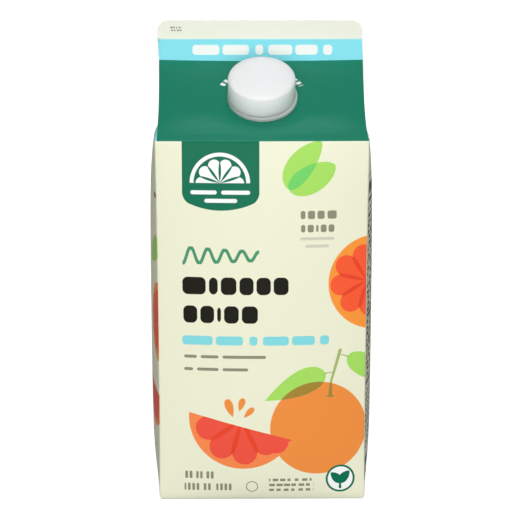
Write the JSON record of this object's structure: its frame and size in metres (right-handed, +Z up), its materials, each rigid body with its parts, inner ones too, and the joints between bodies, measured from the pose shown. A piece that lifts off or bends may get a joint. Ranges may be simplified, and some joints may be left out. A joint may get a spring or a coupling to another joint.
{
  "type": "juice carton",
  "caption": "Full gable-top drink carton: a square board body with gently swollen walls, a pitched roof with folded gable ends and a sealed fin, and a white screw cap on the front roof panel.",
  "frame": {"origin": "middle of the base, in the plane of the rim that it stands on", "axes": "+Z up, the front wall and the cap face -Y, +X to the right seen from the front"},
  "size_m": [0.1052, 0.1052, 0.2178],
  "materials": {
    "carton": "coated board, satin, printed in fields of green, pale blue, cream and orange",
    "cap": "satin moulded polyethylene, white",
    "tamper_ring": "satin moulded polyethylene, white, slightly translucent"
  },
  "bodies": {
    "root": {"carton": "carton", "cap": "cap", "tamper_ring": "tamper_ring"}
  },
  "joints": []
}
